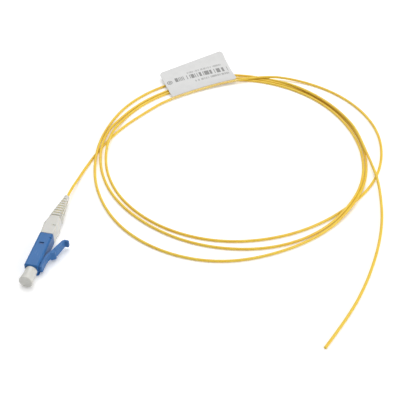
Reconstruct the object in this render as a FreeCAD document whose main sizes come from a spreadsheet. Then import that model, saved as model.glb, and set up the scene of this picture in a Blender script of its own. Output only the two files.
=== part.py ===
import FreeCAD, Part
import math
import os

import Sketcher

# Simplex fibre pigtail: a small square connector with its dust cap on, a strain relief boot,
# a folded flag label and a loose coil of 0.9 mm cord.
#
# Frame: +Z up, floor at z = 0. The origin is the middle of the housing's underside, the plug
# axis runs along Y with the cap towards -Y and the cord towards +Y, and the latch is on +X.
# Each connector piece is drawn about its own axis (x = 0, z = 0) and lifted by its Placement.

SIZES = {
    # Housing: square plastic body
    "housing_side": 4.5,
    "housing_length": 14.6,
    "housing_corner": 0.75,
    "mouth_chamfer": 0.3,
    "rear_chamfer": 0.25,
    "mouth_radius": 1.75,
    "mouth_depth": 1.9,
    "shoulder_thickness": 0.8,
    "shoulder_hole_radius": 0.95,
    "bore_radius": 1.65,
    "window_width": 1.5,
    "window_length": 0.9,
    "window_setback": 4.77,
    "slit_width": 0.9,
    "slit_length": 0.25,
    "slit_depth": 0.6,
    "slit_side": 1.95,
    "slit_setback": 1.9,
    "boss_height": 0.83,
    "boss_length": 4.4,
    "boss_setback": 0.9,
    "boss_slope": 0.3,
    "boss_width": 2.4,
    "boss_root": 0.3,
    "root_slot_width": 0.5,
    "root_slot_length": 2.6,
    "root_slot_depth": 0.7,
    "root_recess_depth": 0.4,
    # Latch: places measured out from its hinge line and back along the plug axis
    "hinge_standoff": 0.47,
    "hinge_setback": 4.6,
    "hinge_radius": 0.38,
    "hinge_clearance": 0.05,
    "arm_width": 2.4,
    "arm_thickness": 0.7,
    "arm_bend_along": 1.5,
    "arm_bend_out": -0.08,
    "knee_along": 2.85,
    "knee_out": 0.38,
    "stop_width": 3.0,
    "stop_along": 2.1,
    "stop_length": 1.45,
    "stop_ramp": 0.8,
    "stop_foot_out": 1.1,
    "stop_out": 2.45,
    "lever_width": 2.6,
    "lever_along": 4.6,
    "lever_out": 1.28,
    "lever_thickness": 1.18,
    "lever_length": 3.9,
    "lever_rise": 1.45,
    "lever_taper": 0.38,
    "tip_reach": 1.3,
    "tip_thickness": 0.6,
    "tip_corner": 0.5,
    # Ferrule and its flange
    "ferrule_radius": 0.625,
    "ferrule_length": 6.4,
    "ferrule_reach": 1.9,
    "ferrule_chamfer": 0.12,
    "glue_gap": 0.01,
    "flange_radius": 1.4,
    "flange_head_length": 2.0,
    "flange_tail_radius": 0.78,
    "flange_tail_length": 2.3,
    "ferrule_seat": 1.8,
    # Spring
    "spring_radius": 1.05,
    "spring_wire": 0.16,
    "spring_turns": 4.0,
    # Rear body: nose, snap lugs, barbed tail
    "nose_clearance": 0.05,
    "nose_length": 5.4,
    "lug_width": 1.4,
    "lug_length": 0.55,
    "lug_sink": 0.15,
    "lug_gap": 0.05,
    "tail_radius": 1.2,
    "tail_length": 5.7,
    "barb_height": 0.13,
    "barb_length": 0.9,
    "barb_pitch": 1.35,
    "rear_bore_radius": 0.55,
    # Boot
    "boot_gap": 0.05,
    "boot_length": 19.15,
    "boot_base_side": 4.3,
    "boot_corner": 0.6,
    "boot_grip_width": 4.9,
    "boot_grip_along": 4.45,
    "boot_waist_along": 7.25,
    "boot_waist_side": 4.3,
    "boot_waist_corner": 1.1,
    "boot_taper_along": 9.35,
    "boot_taper_side": 4.1,
    "boot_taper_corner": 1.3,
    "boot_tip_side": 1.66,
    "boot_tip_corner": 0.78,
    "boot_ring_radius": 0.93,
    "boot_ring_length": 0.82,
    "boot_ring_chamfer": 0.14,
    "boot_cavity_radius": 1.4,
    "boot_cavity_depth": 5.85,
    "boot_cavity_taper": 0.7,
    "boot_bore_radius": 0.5,
    "slot_start": 7.85,
    "slot_pitch": 1.28,
    "slot_gap": 0.55,
    "slot_core": 0.66,
    "dimple_depth": 0.25,
    "dimple_length": 0.55,
    "dimple_side": 2.0,
    "dimple_width": 0.5,
    "notch_side": 1.2,
    "notch_width": 1.1,
    "notch_setback": 1.1,
    # Dust cap
    "cap_fit": 0.1,
    "cap_nose_length": 1.8,
    "cap_gap": 0.05,
    "cap_length": 5.1,
    "cap_neck_radius": 1.88,
    "cap_neck_length": 2.0,
    "cap_end_radius": 2.22,
    "cap_rim": 0.2,
    "cap_bore_radius": 0.66,
    "cap_bore_depth": 4.7,
    # Cord
    "cord_radius": 0.45,
    "cord_clearance": 0.05,
    "buffer_end": 21.0,
    # Coil: the ring that all its turns lie in
    "coil_middle_x": 47.5,
    "coil_middle_y": 61.0,
    "coil_thickness": 1.8,
    "coil_flat_thickness": 0.94,
    # Flag label: its outer edge is set along the cord, because it was stuck on by hand
    "label_x": 20.7,
    "label_y": 89.05,
    "label_heading": 39.0,
    "label_length": 26.6,
    "label_depth": 15.4,
    "label_slant": 1.2,
    "label_corner": 1.5,
    "label_film": 0.24,
    "label_wrap": 0.1,
    "label_rest": 0.06,
    "label_near_lift": 1.1,
    "label_far_lift": 3.75,
}

# Boot slots: how many rings of slots there are along its taper
SLOT_ROWS = 8

# Where the label's curl is drawn, as shares of its depth; the sheet is cut to its outline afterwards
LABEL_SHARES = [-0.05, 0.0, 0.25, 0.5, 0.75, 1.05]

# Cord route out of the boot to where it enters the coil, and out of the coil to its cut end
TAIL_ROUTE = [
    (0.0, 22.2, 2.25), (0.0, 29.6, 2.25), (0.25, 37.5, 0.95), (0.85, 45.4, 0.45),
    (2.05, 52.8, 0.45), (4.1, 61.3, 0.45), (7.6, 70.4, 0.45), (12.6, 79.2, 0.45),
    (18.4, 87.2, 0.58), (29.4, 97.0, 0.6), (40.4, 105.7, 0.6),
]
FREE_ROUTE = [
    (93.2, 73.4, 1.43), (96.2, 65.9, 1.43), (98.7, 59.0, 1.4), (100.6, 50.6, 0.45),
    (101.8, 41.5, 0.45), (102.0, 32.0, 0.45), (101.1, 21.5, 0.45), (98.9, 9.7, 0.45),
    (95.4, -2.8, 0.45), (90.9, -14.8, 0.45),
]
# Each bend of the cord's tube takes this share of the shorter run beside it
BEND_SHARE = 0.45
# The section of the long tube has twelve sides, which keeps it light
CORD_SIDES = 12
# How far the tube's volume may be from its section times its length
VOLUME_TOLERANCE = 0.01

# Inner and outer edge of the coil every 30 degrees, counter-clockwise from +X
COIL_INNER = [45.7, 45.4, 45.4, 44.9, 42.6, 41.8, 42.2, 42.4, 41.7, 41.1, 41.2, 43.3]
COIL_OUTER = [51.3, 55.6, 53.2, 48.6, 47.6, 48.4, 48.6, 47.4, 48.4, 51.4, 50.8, 48.1]

doc = FreeCAD.newDocument("FiberPigtail")
sheet = doc.addObject("Spreadsheet::Sheet", "Sizes")
for row, (alias, size) in enumerate(SIZES.items(), start=1):
    sheet.set(f"A{row}", alias)
    sheet.set(f"B{row}", str(size))
    sheet.setAlias(f"B{row}", alias)
doc.recompute()

# Places along the plug axis, measured from the housing's middle, as expressions on the sheet
AXIS_HEIGHT = "Sizes.housing_side / 2"
FRONT = "(-Sizes.housing_length / 2)"
REAR = "(Sizes.housing_length / 2)"
MOUTH_FLOOR = f"({FRONT} + Sizes.mouth_depth)"
SHOULDER_BACK = f"({MOUTH_FLOOR} + Sizes.shoulder_thickness)"
FLANGE_BACK = f"({SHOULDER_BACK} + Sizes.flange_head_length)"
NOSE_FRONT = f"({REAR} - Sizes.nose_length)"
BOOT_FRONT = f"({REAR} + Sizes.boot_gap)"
FERRULE_TIP = f"({FRONT} - Sizes.ferrule_reach)"
FERRULE_BACK = f"({FERRULE_TIP} + Sizes.ferrule_length)"
WINDOW_MIDDLE = f"({REAR} - Sizes.window_setback)"
SIDE = "(Sizes.housing_side / 2)"
HINGE_X = f"({SIDE} + Sizes.hinge_standoff)"
HINGE_Y = f"({FRONT} + Sizes.hinge_setback)"

bodies = []


def value(expression):
    """The number that an expression on the sheet gives."""
    number = sheet.evalExpression(str(expression).replace("Sizes.", ""))
    return float(getattr(number, "Value", number))


def new_body(name):
    """A sub-part whose own axis is lifted to the plug axis."""
    piece = doc.addObject("PartDesign::Body", name)
    piece.Label = name
    piece.setExpression("Placement.Base.z", AXIS_HEIGHT)
    bodies.append(piece)
    return piece


def new_sketch(piece, name, role, offset=None):
    """A sketch on one of the body's own origin planes, moved along its normal by offset."""
    sketch = piece.newObject("Sketcher::SketchObject", name)
    plane = next(item for item in piece.Origin.OriginFeatures if item.Role == role)
    sketch.AttachmentSupport = (plane, [""])
    sketch.MapMode = "FlatFace"
    if offset is not None:
        sketch.setExpression("AttachmentOffset.Base.z", offset)
    return sketch


def bind(sketch, constraint, expression):
    """Add a dimension to a sketch and tie it to the sheet."""
    index = sketch.addConstraint(constraint)
    sketch.setExpression(f"Constraints[{index}]", str(expression))


def place_point(sketch, geometry, vertex, across, up):
    """Fix a sketch point by its distances from the sketch's origin."""
    bind(sketch, Sketcher.Constraint("DistanceX", -1, 1, geometry, vertex, value(across)), across)
    bind(sketch, Sketcher.Constraint("DistanceY", -1, 1, geometry, vertex, value(up)), up)


def draw_outline(sketch, corners):
    """A closed outline of straight edges through corners given as expressions."""
    spots = [FreeCAD.Vector(value(across), value(up), 0) for across, up in corners]
    first = sketch.GeometryCount
    lines = range(first, first + len(spots))
    for start, end in zip(spots, spots[1:] + spots[:1]):
        sketch.addGeometry(Part.LineSegment(start, end), False)
    for line, following in zip(lines, list(lines[1:]) + [first]):
        sketch.addConstraint(Sketcher.Constraint("Coincident", line, 2, following, 1))
    for line, (across, up) in zip(lines, corners):
        place_point(sketch, line, 1, across, up)


def draw_box(sketch, left, right, low, high):
    """A rectangle between four expressions."""
    draw_outline(sketch, [(left, low), (right, low), (right, high), (left, high)])


def draw_circle(sketch, across, up, radius):
    """A circle with its centre and radius given as expressions."""
    centre = FreeCAD.Vector(value(across), value(up), 0)
    circle = Part.Circle(centre, FreeCAD.Vector(0, 0, 1), value(radius))
    index = sketch.addGeometry(circle, False)
    place_point(sketch, index, 3, across, up)
    bind(sketch, Sketcher.Constraint("Radius", index, value(radius)), radius)


def draw_rounded_box(sketch, half_width, half_height, corner):
    """A rectangle about the origin with rounded corners: four edges joined by four arcs."""
    wide, high, rounding = value(half_width), value(half_height), value(corner)
    reach_x, reach_y = wide - rounding, high - rounding
    edges = [((reach_x, -high), (-reach_x, -high)), ((-wide, -reach_y), (-wide, reach_y)),
             ((-reach_x, high), (reach_x, high)), ((wide, reach_y), (wide, -reach_y))]
    centres = [(-reach_x, -reach_y), (-reach_x, reach_y), (reach_x, reach_y), (reach_x, -reach_y)]
    first = sketch.GeometryCount
    for quarter, ((start, end), centre) in enumerate(zip(edges, centres)):
        sketch.addGeometry(Part.LineSegment(FreeCAD.Vector(*start, 0), FreeCAD.Vector(*end, 0)), False)
        circle = Part.Circle(FreeCAD.Vector(*centre, 0), FreeCAD.Vector(0, 0, 1), rounding)
        turn = math.radians(90 * (2 - quarter))
        sketch.addGeometry(Part.ArcOfCircle(circle, turn, turn + math.pi / 2), False)
    for quarter in range(4):
        line, arc = first + 2 * quarter, first + 2 * quarter + 1
        following = first + (2 * quarter + 2) % 8
        sketch.addConstraint(Sketcher.Constraint("Tangent", line, 2, arc, 2))
        sketch.addConstraint(Sketcher.Constraint("Tangent", arc, 1, following, 1))
        if quarter:
            sketch.addConstraint(Sketcher.Constraint("Equal", first + 1, arc))
    bind(sketch, Sketcher.Constraint("Radius", first + 1, rounding), corner)
    place_point(sketch, first + 1, 3, f"{corner} - ({half_width})", f"{corner} - ({half_height})")
    place_point(sketch, first + 5, 3, f"({half_width}) - {corner}", f"({half_height}) - {corner}")
    sketch.addConstraint(Sketcher.Constraint("Horizontal", first))


def pad(piece, name, sketch, length, symmetric=False, reverse=False):
    """Material grown from a sketch."""
    feature = piece.newObject("PartDesign::Pad", name)
    feature.Profile = sketch
    feature.setExpression("Length", length)
    feature.SideType = "Symmetric" if symmetric else "One side"
    feature.Reversed = reverse
    doc.recompute()
    return feature


def cut(piece, name, sketch, length, symmetric=False, reverse=False):
    """Material taken away along a sketch's normal; it has to take something."""
    before = piece.Shape.Volume
    feature = piece.newObject("PartDesign::Pocket", name)
    feature.Profile = sketch
    feature.setExpression("Length", length)
    feature.SideType = "Symmetric" if symmetric else "One side"
    feature.Reversed = reverse
    doc.recompute()
    check_cut(piece, name, before)
    return feature


def check_cut(piece, name, before):
    """A cut that points away from the solid would leave its volume as it was."""
    if piece.Shape.Volume >= before - 1e-6:
        raise RuntimeError(f"{name} took nothing from {piece.Label}")


def turn(piece, name, corners, hollow=False):
    """A turned form about the plug axis, from a half section of (along, radius) corners."""
    before = piece.Shape.Volume if hollow else 0.0
    sketch = new_sketch(piece, f"{name}_section", "YZ_Plane")
    draw_outline(sketch, corners)
    kind = "PartDesign::Groove" if hollow else "PartDesign::Revolution"
    feature = piece.newObject(kind, name)
    feature.Profile = sketch
    feature.ReferenceAxis = (sketch, ["H_Axis"])
    feature.Angle = 360
    doc.recompute()
    if hollow:
        check_cut(piece, name, before)
    return feature


def dress(piece, kind, name, chosen, size):
    """A fillet or chamfer on the edges of the body's last feature that chosen() picks."""
    base = piece.Tip
    names = [f"Edge{index}" for index, edge in enumerate(base.Shape.Edges, start=1) if chosen(edge)]
    if not names:
        raise RuntimeError(f"{name} found no edge on {piece.Label}")
    feature = piece.newObject(f"PartDesign::{kind}", name)
    feature.Base = (base, names)
    feature.setExpression("Radius" if kind == "Fillet" else "Size", size)
    doc.recompute()
    return feature


def runs_along(axis):
    """A test for straight edges that lie along one axis."""
    def chosen(edge):
        if edge.Curve.TypeId != "Part::GeomLine":
            return False
        return abs(edge.tangentAt(edge.FirstParameter).dot(axis)) > 0.999
    return chosen


def upright_at(spots):
    """A test for straight upright edges near any of the (x, y) spots."""
    upright = runs_along(FreeCAD.Vector(0, 0, 1))

    def chosen(edge):
        if not upright(edge):
            return False
        middle = edge.CenterOfMass
        return any(math.hypot(middle.x - x, middle.y - y) < 0.02 for x, y in spots)
    return chosen


def make_housing():
    """Square housing: stepped bore, snap windows, slit and the latch's root boss."""
    piece = new_body("connector_housing")
    section = new_sketch(piece, "housing_section", "XZ_Plane", f"-{FRONT}")
    draw_box(section, f"-{SIDE}", SIDE, f"-{SIDE}", SIDE)
    pad(piece, "housing_block", section, "Sizes.housing_length", reverse=True)
    dress(piece, "Fillet", "housing_rounding", runs_along(FreeCAD.Vector(0, 1, 0)), "Sizes.housing_corner")
    front = value(FRONT)
    dress(piece, "Chamfer", "mouth_edge", lambda edge: abs(edge.BoundBox.YMax - front) < 1e-4,
          "Sizes.mouth_chamfer")
    rear = value(REAR)
    dress(piece, "Chamfer", "rear_edge", lambda edge: abs(edge.BoundBox.YMin - rear) < 1e-4,
          "Sizes.rear_chamfer")

    boss = new_sketch(piece, "boss_section", "XY_Plane")
    boss_top = f"({SIDE} + Sizes.boss_height)"
    boss_back = f"({FRONT} + Sizes.boss_length)"
    boss_root = f"({SIDE} - Sizes.boss_root)"
    boss_front = f"({FRONT} + Sizes.boss_setback)"
    draw_outline(boss, [(boss_root, boss_front), (f"{boss_top} - Sizes.boss_slope", boss_front),
                        (boss_top, f"{boss_front} + Sizes.boss_slope"), (boss_top, boss_back),
                        (boss_root, boss_back)])
    pad(piece, "latch_boss", boss, "Sizes.boss_width", symmetric=True)
    socket = new_sketch(piece, "socket_section", "XY_Plane")
    draw_circle(socket, HINGE_X, HINGE_Y, "Sizes.hinge_radius + Sizes.hinge_clearance")
    cut(piece, "hinge_socket", socket, "Sizes.boss_width * 2", symmetric=True)

    # A shallow recess in front of the latch's root, and a slot on each side of it
    recess = new_sketch(piece, "root_recess_section", "XZ_Plane", f"-{FRONT}")
    draw_box(recess, f"{SIDE} - Sizes.root_recess_depth", f"{SIDE} + Sizes.root_recess_depth",
             "-Sizes.boss_width / 2", "Sizes.boss_width / 2")
    cut(piece, "root_recess", recess, "Sizes.boss_setback")
    root_slots = new_sketch(piece, "root_slot_section", "XZ_Plane", f"-{FRONT}")
    slot_low = "(Sizes.boss_width / 2)"
    slot_high = f"({slot_low} + Sizes.root_slot_width)"
    slot_floor = f"({SIDE} - Sizes.root_slot_depth)"
    for low, high in ((slot_low, slot_high), (f"-{slot_high}", f"-{slot_low}")):
        draw_box(root_slots, slot_floor, f"{SIDE} + Sizes.root_slot_depth", low, high)
    cut(piece, "root_slots", root_slots, "Sizes.root_slot_length")

    turn(piece, "stepped_bore", [
        (f"{FRONT} - Sizes.mouth_depth", "0"), (f"{FRONT} - Sizes.mouth_depth", "Sizes.mouth_radius"),
        (MOUTH_FLOOR, "Sizes.mouth_radius"), (MOUTH_FLOOR, "Sizes.shoulder_hole_radius"),
        (SHOULDER_BACK, "Sizes.shoulder_hole_radius"), (SHOULDER_BACK, "Sizes.bore_radius"),
        (f"{REAR} + Sizes.boot_gap", "Sizes.bore_radius"), (f"{REAR} + Sizes.boot_gap", "0")], hollow=True)

    windows = new_sketch(piece, "window_section", "XY_Plane")
    draw_box(windows, "-Sizes.window_width / 2", "Sizes.window_width / 2",
             f"{WINDOW_MIDDLE} - Sizes.window_length / 2", f"{WINDOW_MIDDLE} + Sizes.window_length / 2")
    cut(piece, "snap_windows", windows, "Sizes.housing_side * 2", symmetric=True)

    slit = new_sketch(piece, "slit_section", "XY_Plane", SIDE)
    draw_box(slit, "Sizes.slit_side - Sizes.slit_width / 2", "Sizes.slit_side + Sizes.slit_width / 2",
             f"{REAR} - Sizes.slit_setback - Sizes.slit_length / 2",
             f"{REAR} - Sizes.slit_setback + Sizes.slit_length / 2")
    cut(piece, "corner_slit", slit, "Sizes.slit_depth")


def make_latch():
    """Latch: barrel at its root, thin sprung arm, two locking shoulders and a thumb lever."""
    piece = new_body("latch_lever")

    def spot(out, along):
        return (f"{HINGE_X} + {out}", f"{HINGE_Y} + {along}")

    barrel = new_sketch(piece, "barrel_section", "XY_Plane")
    draw_circle(barrel, HINGE_X, HINGE_Y, "Sizes.hinge_radius")
    pad(piece, "hinge_barrel", barrel, "Sizes.arm_width", symmetric=True)

    # The arm stays close to the housing, then swings out to the shoulders
    bend_low = spot("Sizes.arm_bend_out", "Sizes.arm_bend_along")
    bend_high = spot("Sizes.arm_bend_out + Sizes.arm_thickness", "Sizes.arm_bend_along")
    knee = spot("Sizes.knee_out", "Sizes.knee_along")
    lever_start = spot("Sizes.lever_out", "Sizes.lever_along")
    lever_back = spot("Sizes.lever_out + Sizes.lever_thickness", "Sizes.lever_along - Sizes.tip_thickness")
    arm = new_sketch(piece, "arm_section", "XY_Plane")
    draw_outline(arm, [spot("-Sizes.hinge_radius", "0"), bend_low, knee, lever_start, lever_back,
                       spot("Sizes.stop_foot_out", "Sizes.stop_along"), bend_high,
                       spot("Sizes.hinge_radius", "0")])
    pad(piece, "sprung_arm", arm, "Sizes.arm_width", symmetric=True)
    dress(piece, "Fillet", "arm_curve",
          upright_at([tuple(value(part) for part in corner) for corner in (bend_low, bend_high, knee)]),
          "Sizes.arm_thickness")

    stop_back = "(Sizes.stop_along + Sizes.stop_length)"
    stops = new_sketch(piece, "stop_section", "XY_Plane")
    draw_outline(stops, [spot("Sizes.stop_foot_out", "Sizes.stop_along"),
                         spot("Sizes.stop_out", "Sizes.stop_along + Sizes.stop_ramp"),
                         spot("Sizes.stop_out", stop_back),
                         spot("Sizes.stop_foot_out", stop_back)])
    pad(piece, "locking_shoulders", stops, "Sizes.stop_width", symmetric=True)

    # The lever runs straight back and outwards to its thumb tip, which turns out and has round corners
    lever_end = "(Sizes.lever_along + Sizes.lever_length)"
    under = "(Sizes.lever_out + Sizes.lever_rise)"
    tip_inside = f"({under} + Sizes.lever_thickness - Sizes.lever_taper)"
    tip_end = f"({tip_inside} + Sizes.tip_reach)"
    tip_back = f"({lever_end} + Sizes.tip_thickness)"
    low_end = spot(under, lever_end)
    heel = spot(f"{under} + Sizes.tip_thickness", tip_back)
    inside = spot(tip_inside, lever_end)
    lever = new_sketch(piece, "lever_section", "XY_Plane")
    draw_outline(lever, [lever_start, low_end, heel, spot(tip_end, tip_back), spot(tip_end, lever_end),
                         inside, lever_back])
    pad(piece, "thumb_lever", lever, "Sizes.lever_width", symmetric=True)
    tip_x = value(tip_end) + value(HINGE_X)
    dress(piece, "Fillet", "tip_corners",
          lambda edge: runs_along(FreeCAD.Vector(0, 1, 0))(edge) and abs(edge.CenterOfMass.x - tip_x) < 0.02,
          "Sizes.tip_corner")
    dress(piece, "Fillet", "tip_curve",
          upright_at([tuple(value(part) for part in corner) for corner in (low_end, heel, inside)]),
          "Sizes.tip_thickness / 2")


def make_ferrule():
    """Ceramic ferrule with a chamfered tip."""
    piece = new_body("ferrule")
    turn(piece, "ferrule_form", [
        (FERRULE_TIP, "0"), (FERRULE_TIP, "Sizes.ferrule_radius - Sizes.ferrule_chamfer"),
        (f"{FERRULE_TIP} + Sizes.ferrule_chamfer", "Sizes.ferrule_radius"),
        (FERRULE_BACK, "Sizes.ferrule_radius"), (FERRULE_BACK, "0")])


def make_flange():
    """Metal flange: a six-sided head that keys in the housing and a round tail."""
    piece = new_body("ferrule_flange")
    head = new_sketch(piece, "head_section", "XZ_Plane", f"-{SHOULDER_BACK}")
    corners = [(f"Sizes.flange_radius * cos({60 * side})", f"Sizes.flange_radius * sin({60 * side})")
               for side in range(6)]
    draw_outline(head, corners)
    pad(piece, "keyed_head", head, "Sizes.flange_head_length", reverse=True)
    turn(piece, "round_tail", [
        (SHOULDER_BACK, "0"), (SHOULDER_BACK, "Sizes.flange_tail_radius"),
        (f"{FLANGE_BACK} + Sizes.flange_tail_length", "Sizes.flange_tail_radius"),
        (f"{FLANGE_BACK} + Sizes.flange_tail_length", "0")])
    seat_floor = f"({SHOULDER_BACK} + Sizes.ferrule_seat)"
    turn(piece, "stepped_seat", [
        (f"{SHOULDER_BACK} - Sizes.ferrule_seat", "0"),
        (f"{SHOULDER_BACK} - Sizes.ferrule_seat", "Sizes.ferrule_radius + Sizes.glue_gap"),
        (seat_floor, "Sizes.ferrule_radius + Sizes.glue_gap"),
        (seat_floor, "Sizes.cord_radius + Sizes.glue_gap"),
        (f"{FLANGE_BACK} + Sizes.flange_tail_length * 2", "Sizes.cord_radius + Sizes.glue_gap"),
        (f"{FLANGE_BACK} + Sizes.flange_tail_length * 2", "0")], hollow=True)


def make_spring():
    """Coil spring between the flange's head and the rear body's nose."""
    piece = new_body("ferrule_spring")
    wire = new_sketch(piece, "wire_section", "YZ_Plane")
    first_turn = f"({FLANGE_BACK} + Sizes.spring_wire + Sizes.glue_gap)"
    draw_outline(wire, [(f"{first_turn} + Sizes.spring_wire * cos({60 * side})",
                         f"Sizes.spring_radius + Sizes.spring_wire * sin({60 * side})") for side in range(6)])
    coil = piece.newObject("PartDesign::AdditiveHelix", "spring_coil")
    coil.Profile = wire
    coil.ReferenceAxis = (wire, ["H_Axis"])
    coil.Mode = "height-turns-angle"
    coil.setExpression("Height", f"{NOSE_FRONT} - {FLANGE_BACK} - 2 * (Sizes.spring_wire + Sizes.glue_gap)")
    coil.setExpression("Turns", "Sizes.spring_turns")
    doc.recompute()


def make_fiber_buffer():
    """The cord's stripped end, glued in the flange and running back through the boot."""
    piece = new_body("fiber_buffer")
    turn(piece, "buffer_form", [
        (f"{SHOULDER_BACK} + Sizes.ferrule_seat", "0"),
        (f"{SHOULDER_BACK} + Sizes.ferrule_seat", "Sizes.cord_radius"),
        ("Sizes.buffer_end", "Sizes.cord_radius"), ("Sizes.buffer_end", "0")])


def make_rear_body():
    """Rear insert: nose that fits the housing, two snap lugs and a barbed tail for the boot."""
    piece = new_body("rear_body")
    nose = "(Sizes.bore_radius - Sizes.nose_clearance)"
    tail_end = f"({REAR} + Sizes.tail_length)"
    corners = [(NOSE_FRONT, "0"), (NOSE_FRONT, nose), (REAR, nose), (REAR, "Sizes.tail_radius")]
    for barb in range(2):
        back = f"({tail_end} - {barb} * Sizes.barb_pitch)" if barb else tail_end
        corners[4:4] = [(f"{back} - Sizes.barb_length", "Sizes.tail_radius"),
                        (f"{back} - Sizes.barb_length", "Sizes.tail_radius + Sizes.barb_height"),
                        (back, "Sizes.tail_radius")]
    turn(piece, "nose_and_tail", corners + [(tail_end, "0")])
    lugs = new_sketch(piece, "lug_section", "XY_Plane")
    lug_front = f"({WINDOW_MIDDLE} - Sizes.window_length / 2 + Sizes.lug_gap)"
    lug_back = f"{lug_front} + Sizes.lug_length"
    draw_box(lugs, "-Sizes.lug_width / 2", "Sizes.lug_width / 2", lug_front, lug_back)
    pad(piece, "snap_lugs", lugs, "Sizes.housing_side - 2 * Sizes.lug_sink", symmetric=True)
    turn(piece, "through_bore", [
        (f"{NOSE_FRONT} - Sizes.boot_gap", "0"), (f"{NOSE_FRONT} - Sizes.boot_gap", "Sizes.rear_bore_radius"),
        (f"{tail_end} + Sizes.boot_gap", "Sizes.rear_bore_radius"), (f"{tail_end} + Sizes.boot_gap", "0")],
        hollow=True)


def make_boot():
    """Strain relief boot: square grip, slotted taper, ring at the tip."""
    piece = new_body("strain_boot")
    stations = [
        ("base", "0", "Sizes.boot_base_side", "Sizes.boot_base_side", "Sizes.boot_corner"),
        ("grip", "Sizes.boot_grip_along", "Sizes.boot_grip_width", "Sizes.housing_side", "Sizes.boot_corner"),
        ("waist", "Sizes.boot_waist_along", "Sizes.boot_waist_side", "Sizes.boot_waist_side",
         "Sizes.boot_waist_corner"),
        ("taper", "Sizes.boot_taper_along", "Sizes.boot_taper_side", "Sizes.boot_taper_side",
         "Sizes.boot_taper_corner"),
        ("tip", "Sizes.boot_length", "Sizes.boot_tip_side", "Sizes.boot_tip_side", "Sizes.boot_tip_corner"),
    ]
    sections = []
    for name, along, wide, high, corner in stations:
        section = new_sketch(piece, f"boot_{name}", "XZ_Plane", f"-({BOOT_FRONT} + {along})")
        draw_rounded_box(section, f"{wide} / 2", f"{high} / 2", corner)
        sections.append(section)
    form = piece.newObject("PartDesign::AdditiveLoft", "boot_form")
    form.Profile = sections[0]
    form.Sections = sections[1:]
    form.Ruled = True
    doc.recompute()

    tip = f"({BOOT_FRONT} + Sizes.boot_length)"
    ring_front = f"({tip} - Sizes.boot_ring_length / 2)"
    ring_back = f"({tip} + Sizes.boot_ring_length / 2)"
    turn(piece, "tip_ring", [
        (ring_front, "0"), (ring_front, "Sizes.boot_ring_radius"),
        (f"{ring_back} - Sizes.boot_ring_chamfer", "Sizes.boot_ring_radius"),
        (ring_back, "Sizes.boot_ring_radius - Sizes.boot_ring_chamfer"), (ring_back, "0")])

    # Rows of slots cut in from the four sides, deeper where the boot is thick, so that it bends
    narrowing = "(Sizes.boot_taper_side - Sizes.boot_tip_side) / 2"
    shrink = f"({narrowing} / (Sizes.boot_length - Sizes.boot_taper_along))"
    slot_sets = (("side_slots", "XY_Plane", False, 0.0), ("top_slots", "YZ_Plane", True, 0.5))
    for name, plane, flip, shift in slot_sets:
        slots = new_sketch(piece, f"{name}_section", plane)
        for row in range(SLOT_ROWS):
            along = f"(Sizes.slot_start + {row + shift} * Sizes.slot_pitch)"
            middle = f"({BOOT_FRONT} + {along})"
            local = f"(Sizes.boot_tip_side / 2 + {shrink} * (Sizes.boot_length - {along}))"
            core = f"({local} * Sizes.slot_core)"
            low, high = f"{middle} - Sizes.slot_gap / 2", f"{middle} + Sizes.slot_gap / 2"
            outside = "Sizes.boot_grip_width"
            for near, far in ((core, outside), (f"-{outside}", f"-{core}")):
                if flip:
                    draw_box(slots, low, high, near, far)
                else:
                    draw_box(slots, near, far, low, high)
        cut(piece, name, slots, "Sizes.boot_grip_width * 2", symmetric=True)

    dimples = new_sketch(piece, "dimple_section", "XY_Plane", SIDE)
    grip = f"({BOOT_FRONT} + Sizes.boot_grip_along)"
    draw_box(dimples,
             "-Sizes.dimple_side - Sizes.dimple_width / 2", "-Sizes.dimple_side + Sizes.dimple_width / 2",
             f"{grip} - Sizes.dimple_length / 2", f"{grip} + Sizes.dimple_length / 2")
    notch_front = f"({grip} - Sizes.notch_setback)"
    draw_box(dimples, "Sizes.notch_side - Sizes.notch_width / 2", "Sizes.notch_side + Sizes.notch_width / 2",
             notch_front, f"{notch_front} + Sizes.dimple_length")
    cut(piece, "grip_dimples", dimples, "Sizes.dimple_depth")

    cavity_mouth = f"{BOOT_FRONT} - Sizes.boot_gap"
    cavity_floor = f"({BOOT_FRONT} + Sizes.boot_cavity_depth)"
    turn(piece, "boot_bore", [
        (cavity_mouth, "0"), (cavity_mouth, "Sizes.boot_cavity_radius"),
        (cavity_floor, "Sizes.boot_cavity_radius"),
        (f"{cavity_floor} + Sizes.boot_cavity_taper", "Sizes.boot_bore_radius"),
        (f"{ring_back} + Sizes.boot_gap", "Sizes.boot_bore_radius"), (f"{ring_back} + Sizes.boot_gap", "0")],
        hollow=True)


def make_dust_cap():
    """Dust cap: short nose in the connector's mouth, flared grip, blind bore over the ferrule."""
    piece = new_body("dust_cap")
    nose = "(Sizes.mouth_radius - Sizes.cap_fit)"
    face = f"({FRONT} - Sizes.cap_gap)"
    end = f"({face} - Sizes.cap_length)"
    turn(piece, "cap_form", [
        (f"{FRONT} + Sizes.cap_nose_length", "0"), (f"{FRONT} + Sizes.cap_nose_length", nose),
        (face, nose), (face, "Sizes.cap_neck_radius"),
        (f"{face} - Sizes.cap_neck_length", "Sizes.cap_neck_radius"),
        (f"{end} + Sizes.cap_rim", "Sizes.cap_end_radius"), (end, "Sizes.cap_end_radius - Sizes.cap_rim"),
        (end, "0")])
    bore_floor = f"({FRONT} + Sizes.cap_nose_length - Sizes.cap_bore_depth)"
    bore_mouth = f"{FRONT} + Sizes.cap_nose_length * 2"
    turn(piece, "cap_bore", [
        (bore_mouth, "0"), (bore_mouth, "Sizes.cap_bore_radius"),
        (bore_floor, "Sizes.cap_bore_radius"), (bore_floor, "0")], hollow=True)


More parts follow.
